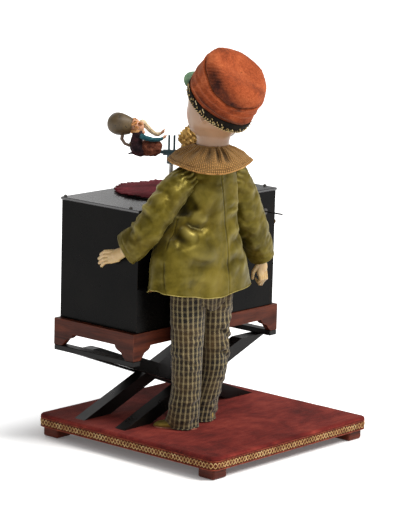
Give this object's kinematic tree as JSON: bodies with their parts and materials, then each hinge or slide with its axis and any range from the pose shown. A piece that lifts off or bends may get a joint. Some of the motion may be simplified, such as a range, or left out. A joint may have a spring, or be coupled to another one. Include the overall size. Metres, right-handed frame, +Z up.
{
  "type": "mechanical automaton",
  "caption": "Clockwork automaton: a doll boy in satin jacket stands behind a lacquered organ box on a trestle, with acrobats whirling on its turntable.",
  "frame": {"origin": "centre of the square base, on the surface that its feet stand on", "axes": "+Z up; the boy faces -Y; his left hand is on the +X side"},
  "size_m": [0.3331, 0.33, 0.5625],
  "materials": {
    "red_wood": "french-polished mahogany colour, satin",
    "black_lacquer": "black lacquered wood, semi-gloss",
    "red_velvet": "short pile velvet",
    "braid": "woven galloon braid, orange-red and cream zigzag",
    "red_felt": "felt",
    "brass": "satin",
    "steel": "bright",
    "blue_paint": "dark blue-green paint",
    "olive_satin": "olive-gold silk satin",
    "tan_cloth": "coarse pleated cotton",
    "orange_wool": "felted wool",
    "green_felt": "felt",
    "checked_cloth": "woven cream and dark brown check",
    "bisque": "unglazed tinted bisque porcelain",
    "composition": "painted composition",
    "shoe_cloth": "turned wood leg in one with a cloth-covered shoe",
    "plain_wood": "unfinished wood",
    "dark_costume": "dyed cotton over wire and kapok",
    "gold_costume": "gold satin over wire and kapok"
  },
  "bodies": {
    "stand_and_boy": {"base_board": "red_wood", "base_velvet": "red_velvet", "base_braid": "braid", "stand_leg_1": "black_lacquer", "stand_leg_2": "black_lacquer", "stand_leg_3": "black_lacquer", "stand_leg_4": "black_lacquer", "stand_rail_left": "black_lacquer", "stand_rail_right": "black_lacquer", "stand_pivot_back": "steel", "stand_pivot_front": "steel", "organ_plinth": "red_wood", "organ_case": "black_lacquer", "case_lid": "black_lacquer", "lid_screw_1": "steel", "lid_screw_2": "steel", "lid_screw_3": "steel", "lid_screw_4": "steel", "front_panel": "red_wood", "spindle_bush": "brass", "rod_bush": "brass", "case_hinge_leaf": "brass", "movement_plate_left": "brass", "movement_plate_right": "brass", "music_comb": "steel", "left_leg": "shoe_cloth", "right_leg": "shoe_cloth", "trousers": "checked_cloth", "torso": "plain_wood", "left_shoulder_pin": "steel", "right_shoulder_pin": "steel", "jacket": "olive_satin", "collar": "tan_cloth"},
    "door": {"end_door": "black_lacquer", "door_hinge_leaf": "brass"},
    "latch": {"door_latch": "brass"},
    "stop": {"stop_rod": "steel"},
    "turntable": {"spindle": "steel", "crown_wheel": "brass", "felt_mat": "red_felt", "yoke": "blue_paint"},
    "acrobat_a": {"acrobat_a_bar": "blue_paint", "acrobat_a_figure": "dark_costume"},
    "acrobat_b": {"acrobat_b_bar": "blue_paint", "acrobat_b_figure": "gold_costume"},
    "barrel": {"spring_barrel": "brass", "mainspring": "steel"},
    "arbor": {"winding_arbor": "steel", "winding_key": "brass"},
    "pawl": {"click": "steel"},
    "second": {"second_arbor": "brass"},
    "fly": {"fly": "steel"},
    "music": {"music_cylinder": "brass"},
    "boy_head": {"head": "bisque", "cap": "orange_wool", "cap_visor": "green_felt"},
    "boy_left_arm": {"left_arm": "composition", "left_sleeve": "olive_satin"},
    "boy_right_arm": {"right_arm": "composition", "right_sleeve": "olive_satin"}
  },
  "joints": [
    {"name": "turntable_spin", "type": "hinge", "parent": "stand_and_boy", "child": "turntable", "pos_m": [0, -0.0725, 0.345], "axis": [0, 0, 1], "continuous": true},
    {"name": "acrobat_a_rock", "type": "hinge", "parent": "turntable", "child": "acrobat_a", "pos_m": [0.00603, -0.07945, 0.3995], "axis": [0.7549, 0.6559, 0], "range_deg": [-3, 5]},
    {"name": "acrobat_b_rock", "type": "hinge", "parent": "turntable", "child": "acrobat_b", "pos_m": [-0.00603, -0.06556, 0.3995], "axis": [-0.7549, -0.6559, 0], "range_deg": [-3, 5]},
    {"name": "barrel_spin", "type": "hinge", "parent": "stand_and_boy", "child": "barrel", "pos_m": [-0.078, -0.0725, 0.225], "axis": [1, 0, 0], "continuous": true},
    {"name": "second_spin", "type": "hinge", "parent": "stand_and_boy", "child": "second", "pos_m": [-0.06, -0.0725, 0.255], "axis": [1, 0, 0], "continuous": true},
    {"name": "fly_spin", "type": "hinge", "parent": "stand_and_boy", "child": "fly", "pos_m": [-0.09, -0.0725, 0.282], "axis": [1, 0, 0], "continuous": true},
    {"name": "music_spin", "type": "hinge", "parent": "stand_and_boy", "child": "music", "pos_m": [-0.08, -0.1145, 0.225], "axis": [1, 0, 0], "continuous": true},
    {"name": "winding", "type": "hinge", "parent": "stand_and_boy", "child": "arbor", "pos_m": [-0.078, -0.0725, 0.225], "axis": [1, 0, 0], "continuous": true},
    {"name": "click_lift", "type": "hinge", "parent": "stand_and_boy", "child": "pawl", "pos_m": [-0.1025, -0.0606, 0.2402], "axis": [-1, 0, 0], "range_deg": [-9, 1]},
    {"name": "stop_slide", "type": "slide", "parent": "stand_and_boy", "child": "stop", "axis": [0, -1, 0], "range_m": [0, 0.008]},
    {"name": "end_door_swing", "type": "hinge", "parent": "stand_and_boy", "child": "door", "pos_m": [-0.1469, -0.1469, 0.255], "axis": [0, 0, 1], "range_deg": [0, 110]},
    {"name": "latch_turn", "type": "hinge", "parent": "door", "child": "latch", "pos_m": [-0.1445, -0.009, 0.2915], "axis": [1, 0, 0], "range_deg": [0, 90]},
    {"name": "head_turn", "type": "hinge", "parent": "stand_and_boy", "child": "boy_head", "pos_m": [0.044, 0.042, 0.428], "axis": [0, 0, 1], "range_deg": [-35, 35]},
    {"name": "left_arm_lift", "type": "hinge", "parent": "stand_and_boy", "child": "boy_left_arm", "pos_m": [0.088, 0.035, 0.386], "axis": [0, -1, 0], "range_deg": [0, 12]},
    {"name": "right_arm_swing", "type": "hinge", "parent": "stand_and_boy", "child": "boy_right_arm", "pos_m": [0.004, 0.035, 0.386], "axis": [0, 1, 0], "range_deg": [0, 12]}
  ],
  "couplings": [
    {"joint": "second_spin", "follows": "turntable_spin", "ratio": 3.75},
    {"joint": "barrel_spin", "follows": "turntable_spin", "ratio": -0.9375},
    {"joint": "music_spin", "follows": "turntable_spin", "ratio": 1.25},
    {"joint": "fly_spin", "follows": "turntable_spin", "ratio": -13.125}
  ]
}
